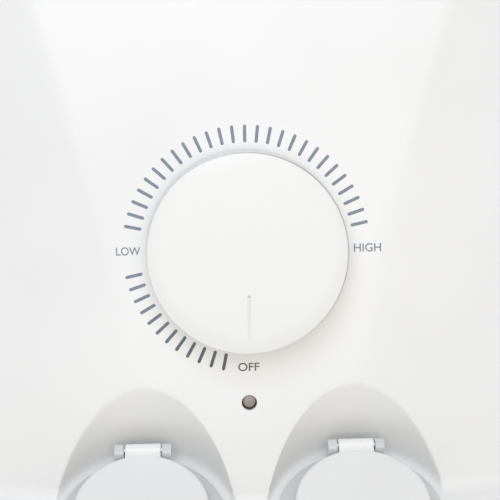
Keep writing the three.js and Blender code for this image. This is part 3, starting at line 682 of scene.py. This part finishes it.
def dial_word(text, centre, width, height):
    """A word in plain capitals, laid on the console: its letters are cut from a thin film."""
    curve = bpy.data.curves.new(text, "FONT")
    curve.body, curve.size, curve.extrude = text, 1.0, 0.01
    curve.resolution_u, curve.offset = 6, 0.008
    written = bpy.data.objects.new(text, curve)
    bpy.context.scene.collection.objects.link(written)
    bpy.context.view_layer.update()
    mesh = bpy.data.meshes.new_from_object(written.evaluated_get(bpy.context.evaluated_depsgraph_get()))
    bpy.data.objects.remove(written)
    p = np.array([v.co for v in mesh.vertices])
    faces = [list(face.vertices) for face in mesh.polygons]
    bpy.data.meshes.remove(mesh)
    low, high = p.min(0), p.max(0)
    flat = (p[:, :2] - (low + high)[:2] / 2) / (high - low)[:2] * [width, height] + centre
    return on_console(np.column_stack([flat, p[:, 2] * 3])), faces


def build_dial_print():
    """All the ink on the console as one printed film, whose material adds painted shadow towards OFF."""
    capitals = 2.75
    parts = [dial_marks(),
             dial_word("OFF", (0.0, -39.0), 7.0, capitals),
             dial_word("LOW", (-38.8, 0.2), 7.9, capitals),
             dial_word("HIGH", (39.8, -0.1), 9.0, capitals)]
    piece("dial_print", *together(parts), INK_WITH_SHADOW, "housing", sharp=30)


def build_lamp():
    """The indicator: a domed lens sunk in its hole, a little above the middle of a black sleeve."""
    lens_up = 0.34
    sleeve = [(1.9, -13.6), (2.42, -13.6), (2.42, -1.5), (2.3, -1.35), (1.9, -1.5)]
    points, faces = turned(sleeve, 64)
    piece("lamp_sleeve", on_console(points - [0, LAMP_DOWN, 0]), faces, BLACK, "housing", "black_plastic",
          ["lamp_holder"])
    lens = [(0, -9), (2.1, -9), (2.1, -1.4), *arc((1.5, -1.4), 0.6, 0, 62, 5)]
    lens += [(r, -0.62 - 0.22 * (r / 1.6) ** 2) for r in (1.6, 1.1, 0.6, 0.3)] + [(0, -0.62)]
    points, faces = turned(lens, 64)
    piece("indicator_lens", on_console(points - [0, LAMP_DOWN - lens_up, 0]), faces, LENS, "housing",
          "lamp_lens", ["indicator_lamp"])


build_knob()
build_dial_print()
build_lamp()


# ------------------------------------------------------------------ base, feet and screws
FEET = {"front_left": (-112, -84), "front_right": (112, -84),
        "rear_left": (-112, 80), "rear_right": (112, 80)}
SCREWS = [(-132, -88), (132, -88), (-132, 84), (132, 84)]
FOOT_H, TRAY_TOP = 6.0, 42.0


def base_ring(t, z):
    """The outline of the base at a height, taken in by t."""
    return round_box(-HALF_WIDTH + t, HALF_WIDTH - t, FRONT_Y + t, BACK_Y - t, CORNER - t, z, 14)


def build_tray():
    """The base tray: a rounded tub whose upper lip stands inside the housing, with four screw wells."""
    toe, lip, lip_wall = 6.0, WALL + 0.3, 1.8
    rings = [base_ring(toe * (1 - math.cos(a)), FOOT_H + toe * (1 - math.sin(a)))
             for a in np.radians(np.linspace(90, 0, 9))]
    rings += [base_ring(0, TRAY_TOP - 0.5), base_ring(0.15, TRAY_TOP - 0.15), base_ring(0.5, TRAY_TOP),
              base_ring(lip, TRAY_TOP), base_ring(lip, TRAY_TOP + 4.6), base_ring(lip + 0.4, TRAY_TOP + 5)]
    tray = piece("base_tub", *loft(rings), SHELL, "housing")
    room = [base_ring(toe, FOOT_H + WALL), base_ring(WALL, FOOT_H + toe), base_ring(WALL, TRAY_TOP - 5.5),
            base_ring(lip + lip_wall, TRAY_TOP - 5), base_ring(lip + lip_wall, TRAY_TOP + 6)]
    boolean(tray, "DIFFERENCE", cutter("tray_room", *loft(room)))
    posts = [rod(6, FOOT_H + 1, 49.7, x, y) for x, y in SCREWS]
    boolean(tray, "UNION", cutter("posts", *together(posts)))
    head_wells = [rod(4.2, 0, FOOT_H + 6, x, y) for x, y in SCREWS]
    bores = [rod(2.3, 11, 60, x, y) for x, y in SCREWS] + [rod(3.3, 0, 20, x, y) for x, y in FEET.values()]
    for group in (head_wells, bores):
        boolean(tray, "DIFFERENCE", cutter("wells", *together(group)))
    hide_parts("base_tray")
    finish_edges(tray, 35)


def build_feet():
    """The feet: rubber buttons with a rounded tread, a shallow dish under each and a peg above."""
    profile = [(0, 0.5), (6.5, 0.5), (7.2, 0.0), (10.2, 0.0), *arc((10.2, 1.8), 1.8, -80, 0, 6)]
    profile += [(12.0, 5.2), (11.5, 5.7), (3.0, 5.7), (3.0, 8.2), (2.8, 8.4), (0, 8.4)]
    for name, centre in FEET.items():
        piece(f"rubber_foot_{name}", *turned(profile, 72, centre), RUBBER, "housing", "rubber",
              [f"foot_{name}"])


def build_screws():
    """The tray screws: pan heads with a cross recess, and a shank that runs up its post."""
    profile = [(0, 8.3), (2.4, 8.3), *arc((2.4, 9.5), 1.2, -90, 0, 5), (3.6, 11.6),
               (1.8, 11.6), (1.8, 60), (0, 62)]
    bar = rectangle(3.6, 0.9, 0.2)
    for i, (x, y) in enumerate(SCREWS):
        screw = piece(f"pan_screw_{i + 1}", *turned(profile, 48, (x, y)), ZINC, "housing")
        for turn in (0.5, 0.5 + math.pi / 2):
            cross = moved(plate(bar, 7.0, 9.7, 0.1, 1), x, y, 0, turn)
            boolean(screw, "DIFFERENCE", cutter("cross", *cross))
        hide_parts(f"tray_screw_{i + 1}")
        finish_edges(screw, 35)


# ------------------------------------------------------------------ boot tubes
GRIP_R = 25.5
HEAD_FOOT, HEAD_MIDDLE, HEAD_R, HEAD_WALL = 352.0, 384.0, 22.4, 2.2
SLOT_Z = 391.0


def grips(radius, angle):
    """Twelve scallops: the outermost radii dip by 1 mm, as a bell curve of the distance round the ring."""
    pitch, half_wide = math.pi / 6, 1.35
    from_scallop = (angle + pitch / 2) % pitch - pitch / 2
    dip = np.exp(-((from_scallop * GRIP_R / half_wide) ** 2))
    return radius - np.clip((radius - GRIP_R + 1.6) / 1.6, 0, 1) * dip


def build_boot_tube(side, sign):
    """A boot post: collar, fixed tube, twist ring, sliding tube and slotted turning head."""
    centre = (sign * BOOT_X, BOOT_Y)
    collar = eased([(22.5, 205.8, 0.3), (24.1, 205.8, 0.3), (24.1, 222.3, 0), (27, 222.3, 0.2),
                    (27, 225.6, 1.8), (22.5, 225.6, 0.6)], 6)
    tube = eased([(20.3, 206, 0.3), (22.1, 206, 0.3), (22.1, 330, 0.5), (20.3, 330, 0.5)])
    slider = eased([(18.2, 232, 0.3), (19.9, 232, 0.3), (19.9, 236, 0.4), (19.4, 237, 0.4),
                    (19.4, 376, 0.4), (18.2, 376, 0.4)])
    ring = eased([(20, 330.4, 0.2), (22.5, 330.4, 0.2), (22.5, 322, 0.4), (GRIP_R, 322, 0.8),
                  (GRIP_R, 340, 1.8), (20, 340, 0.5)], 6)
    turns = (("deck_collar", collar, "housing", TUBE, "pale_tube", "port_collar", None),
             ("lower_tube", tube, "housing", TUBE, "pale_tube", "boot_tube", None),
             ("sliding_tube", slider, f"extension_{side}", TUBE, "pale_tube", "extension_tube", None),
             ("twist_ring", ring, f"ring_{side}", BLACK, "black_plastic", "lock_ring", grips))
    for name, profile, body, material, slot, stands_for, shape in turns:
        steps = 288 if shape else 128  # the scallops need a finer turn
        piece(f"{name}_{side}", *turned(profile, steps, centre, shape), material, body, slot,
              [f"{stands_for}_{side}"], 35)
    dome = [(0, HEAD_FOOT), (20.1, HEAD_FOOT), (22.0, HEAD_FOOT), (HEAD_R, HEAD_FOOT + 0.4),
            *arc((0, HEAD_MIDDLE), HEAD_R, 0, 88, 26), (0, HEAD_MIDDLE + HEAD_R)]
    head = piece(f"outlet_head_{side}", *turned(dome, 160, centre), TUBE, f"head_{side}")
    room_r = HEAD_R - HEAD_WALL
    hollow = [(0, HEAD_FOOT - 1), (19.7, HEAD_FOOT - 1), (19.7, 376.4), (room_r, 376.4),
              *arc((0, HEAD_MIDDLE), room_r, 0, 88, 26), (0, HEAD_MIDDLE + room_r)]
    boolean(head, "DIFFERENCE", cutter("head_room", *turned(hollow, 160, centre)))
    outline = rectangle(4.5, 22, 2.2, 0, SLOT_Z, 8)
    cutters = []
    for degrees in (-44, -22, 0, 22, 44):
        rings = [np.column_stack([outline[:, 0] * wider, np.full(len(outline), y),
                                  SLOT_Z + (outline[:, 1] - SLOT_Z) * taller])
                 for y, wider, taller in ((-8, 1.0, 1.0), (-22.1, 1.0, 1.0), (-28, 1.9, 1.18))]
        cutters.append(moved(loft(rings), *centre, 0, math.radians(degrees)))
    boolean(head, "DIFFERENCE", cutter("slots", *together(cutters)))
    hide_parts(f"tube_head_{side}")
    finish_edges(head, 32)


# ------------------------------------------------------------------ glove outlets
OUTLET_TOP, CAP_R = 79.0, 22.0
HINGE_Y, HINGE_Z = RECESS_Y + 24.5, 80.6


def build_glove_outlet(side, sign):
    """A glove outlet: a flanged stub with two hinge ears, and a lid that swings on a pin."""
    x, y = sign * RECESS_X, RECESS_Y
    stub = eased([(18, 62.8, 0.3), (21.2, 62.8, 0.3), (21.2, 70.3, 0), (28, 70.3, 0.2), (28, 73, 1.2),
                  (20.8, 73, 1.0), (20.8, OUTLET_TOP, 0.5), (18, OUTLET_TOP, 0.5)], 6)
    port = piece(f"glove_stub_{side}", *turned(stub, 144, (x, y)), TUBE, "housing")
    ear = eased([(y + 21.8, 72, 0.3), (HINGE_Y + 2.4, 72, 0.3), (HINGE_Y + 2.4, 82.5, 2.3),
                 (y + 21.8, 82.5, 1.0)], 7)
    ears = [laid_across(plate(ear, -1.6, 1.6, 0.35), x + dx, 0, 0) for dx in (-8, 8)]
    boolean(port, "UNION", cutter("ears", *together(ears)))
    bore = laid_across(rod(1.5, -12, 12), x, HINGE_Y, HINGE_Z)
    boolean(port, "DIFFERENCE", cutter("pin_hole", *bore))
    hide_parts(f"glove_port_{side}")
    finish_edges(port, 32)

    foot = OUTLET_TOP + 0.3
    crown = foot + 2.7
    disc = [(0, foot), (CAP_R - 0.3, foot), (CAP_R, foot + 0.3)]
    disc += arc((CAP_R - 1.4, foot + 1.0), 1.4, 0, 84, 8)
    disc += [(r, crown - 0.3 * (r / CAP_R) ** 2) for r in np.linspace(20, 2, 8)] + [(0, crown)]
    cap = piece(f"outlet_lid_{side}", *turned(disc, 144, (x, y)), SHELL, f"cap_{side}")
    tab = plate(rectangle(10, 6.5, 2.0, x, y - CAP_R - 0.75), foot, foot + 1.5, 0.5)
    arm = plate(rectangle(12, 5, 0.6, x, y + CAP_R), foot, foot + 2.1, 0.4)
    barrel = turned([(0, -6), (1.9, -6), (2.2, -5.7), (2.2, 5.7), (1.9, 6), (0, 6)], 48)
    barrel = laid_across(barrel, x, HINGE_Y, HINGE_Z)
    for part in (tab, arm, barrel):
        boolean(cap, "UNION", cutter("lid_part", *part))
    boolean(cap, "DIFFERENCE", cutter("pin_hole", *bore))
    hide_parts(f"port_cap_{side}")
    finish_edges(cap, 32)
    pin = turned([(0, -9.6), (0.8, -9.6), (1.1, -9.3), (1.1, 9.3), (0.8, 9.6), (0, 9.6)], 32)
    piece(f"hinge_pin_{side}", *laid_across(pin, x, HINGE_Y, HINGE_Z), ZINC, "housing", "zinc_steel",
          [f"cap_pin_{side}"])


# ------------------------------------------------------------------ back
INTAKE_W, INTAKE_H, INTAKE_Z = 116.0, 96.0, 142.0
INLET_X, INLET_Z = -45.0, 76.0


def build_grille():
    """The intake grille: a rounded frame with ten drafted slots and a skirt that enters the housing."""
    bezel = plate(rectangle(INTAKE_W + 10, INTAKE_H + 10, 8), BACK_Y + 0.3, BACK_Y + 4, 1.3, 6)
    grille = piece("louvre_frame", *laid_back(bezel, 0, INTAKE_Z), TUBE, "grille")
    skirt = plate(rectangle(INTAKE_W - 1, INTAKE_H - 1, 2), 98, BACK_Y + 1, 0.4)
    room = plate(rectangle(INTAKE_W - 5, INTAKE_H - 5, 1), 90, BACK_Y + 0.3, 0.1)
    boolean(grille, "UNION", cutter("skirt", *laid_back(skirt, 0, INTAKE_Z)))
    boolean(grille, "DIFFERENCE", cutter("skirt_room", *laid_back(room, 0, INTAKE_Z)))
    slot = flared(rectangle(INTAKE_W - 16, 4.4, 2.15, 0, 0, 8),
                  ((BACK_Y - 3, 0.0), (BACK_Y + 3.2, 0.0), (BACK_Y + 3.7, 0.15), (BACK_Y + 4.6, 1.0)))
    lowest, pitch = INTAKE_Z - INTAKE_H / 2 + 9, 8.7
    cutters = [laid_back(slot, 0, lowest + pitch * i) for i in range(10)]
    boolean(grille, "DIFFERENCE", cutter("louvres", *together(cutters)))
    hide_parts("intake_grille")
    finish_edges(grille, 32)
    foam = laid_back(plate(rectangle(108, 88, 3), 101, 109, 1.0), 0, INTAKE_Z)
    piece("foam_pad", *foam, FOAM, "grille", "foam", ["filter_foam"])


def build_inlet():
    """The mains inlet: a flanged can with a two-pin socket in it."""
    flange = plate(rectangle(34, 21, 4), BACK_Y + 0.3, BACK_Y + 2.4, 0.6)
    inlet = piece("inlet_body", *laid_back(flange, INLET_X, INLET_Z), BLACK, "housing")
    can = plate(rectangle(27, 15, 3), 92, BACK_Y + 1, 0.5)
    boolean(inlet, "UNION", cutter("can", *laid_back(can, INLET_X, INLET_Z)))
    socket = flared(rectangle(18.4, 9, 4.4, 0, 0, 10),
                    ((100, 0.0), (BACK_Y + 1.8, 0.0), (BACK_Y + 2.3, 0.25), (BACK_Y + 3.0, 0.9)))
    boolean(inlet, "DIFFERENCE", cutter("socket", *laid_back(socket, INLET_X, INLET_Z)))
    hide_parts("power_inlet")
    finish_edges(inlet, 32)
    pin = [(0, 99.5), (1.2, 99.5), (1.2, 110.8), *arc((0, 110.8), 1.2, 15, 75, 4), (0, 112)]
    apart = 4.3
    pins = together([laid_back(turned(pin, 32, (x, 0)), INLET_X, INLET_Z) for x in (-apart, apart)])
    piece("inlet_contacts", *pins, BRASS, "housing", "brass")


build_tray()
build_feet()
build_screws()
for side, sign in SIDES:
    build_boot_tube(side, sign)
    build_glove_outlet(side, sign)
build_grille()
build_inlet()


# ------------------------------------------------------------------ CAD pieces that keep their own shape
FINISHES = {
    "white_shell": SHELL, "white_dial": DIAL_FACE, "pale_tube": TUBE, "rubber": RUBBER, "zinc_steel": ZINC,
    "aluminium": ALUMINIUM, "black_plastic": BLACK, "lamp_lens": LENS, "board": BOARD, "foam": FOAM,
    "ceramic": CERAMIC, "brass": BRASS,
}
SLOT_OF = {part["node"]: part["material_slot"] for part in frame["record"]["subparts"]}
for name, ob in NODES.items():
    ob.data.materials.clear()
    ob.data.materials.append(FINISHES[SLOT_OF[name]])


# ------------------------------------------------------------------ camera, light and floor
def look(location, right, up, back):
    """A matrix that stands at location, looking against back."""
    m = Matrix.Identity(4)
    for column, axis in enumerate((right, up, back)):
        for row in range(3):
            m[row][column] = float(axis[row])
    m.translation = Vector([float(v) * MM for v in location])
    return m


def set_camera():
    """The camera faces the console squarely, from 400 mm, a touch left and above its middle."""
    azimuth, elevation, roll = math.radians(-1.86), math.radians(5.02), math.radians(-1.02)
    back = np.array([math.sin(azimuth) * math.cos(elevation), math.sin(elevation),
                     math.cos(azimuth) * math.cos(elevation)])
    right = np.cross([0, 1, 0], back)
    right /= np.linalg.norm(right)
    up = np.cross(back, right)
    turned_right = math.cos(roll) * right + math.sin(roll) * up
    turned_up = -math.sin(roll) * right + math.cos(roll) * up
    data = bpy.data.cameras.new("camera")
    data.lens, data.sensor_width, data.clip_start, data.clip_end = 87.76, 36.0, 0.02, 20.0
    camera = bpy.data.objects.new("camera", data)
    bpy.context.scene.collection.objects.link(camera)
    aim = np.array([1.08, -0.17, 0.0])
    camera.matrix_world = look(on_console([aim + back * 400])[0], turned_right @ CONSOLE,
                               turned_up @ CONSOLE, back @ CONSOLE)
    bpy.context.scene.camera = camera


def soft_light(name, place, aim, size, watts, colour="#FFFFFF"):
    """A square soft box at a place in mm, facing aim."""
    data = bpy.data.lights.new(name, "AREA")
    data.shape, data.size, data.energy, data.color = "SQUARE", size * MM, watts, linear(colour)[:3]
    ob = bpy.data.objects.new(name, data)
    bpy.context.scene.collection.objects.link(ob)
    ob.location = Vector([v * MM for v in place])
    ob.rotation_mode = "QUATERNION"
    ob.rotation_quaternion = (Vector(aim) - Vector(place)).to_track_quat("-Z", "Y")


def set_studio():
    """A pale floor, a warm white surround and five soft boxes.

    The cool key stands above and a little left, and a broad warm one in front. A faint one on each
    side lifts the facets, and the last lights the back.
    """
    world = bpy.data.worlds.new("studio")
    bpy.context.scene.world = world
    world.use_nodes = True
    background = world.node_tree.nodes["Background"]
    background.inputs["Color"].default_value = linear("#FFFBF4")
    background.inputs["Strength"].default_value = 0.46
    bpy.context.scene.view_settings.view_transform = "Standard"
    key, front = on_console([[-100, 450, 700], [0, 120, 900]])
    soft_light("key", tuple(key), tuple(DIAL), 420, 2.05, "#D4E1FF")
    soft_light("front", tuple(front), tuple(DIAL), 700, 2.95, "#FFFBF0")
    soft_light("left", (-900, -200, 420), tuple(DIAL), 500, 0.35, "#C4E4FF")
    soft_light("right", (900, -500, 300), tuple(DIAL), 500, 0.5)
    soft_light("back", (500, 1100, 700), (0, BACK_Y, 150), 900, 6.0)
    half, z = 1500.0, -0.2
    material, tree, shader, place = blank("pale_floor")
    speckle = node(tree, "TexNoise", {"Scale": across(6), "Detail": 4.0}, {"Vector": place}).outputs[0]
    colour = node(tree, "ValToRGB", {"stops": [(0.3, "#F0F0EF"), (0.7, "#F4F4F3")]}, {0: speckle})
    feed(tree, shader, {"Base Color": colour.outputs[0]})
    shader.inputs["Roughness"].default_value = 0.7
    floor = piece("floor", [(-half, -half, z), (half, -half, z), (half, half, z), (-half, half, z)],
                  [[0, 1, 2, 3]], material, None)


set_camera()
set_studio()
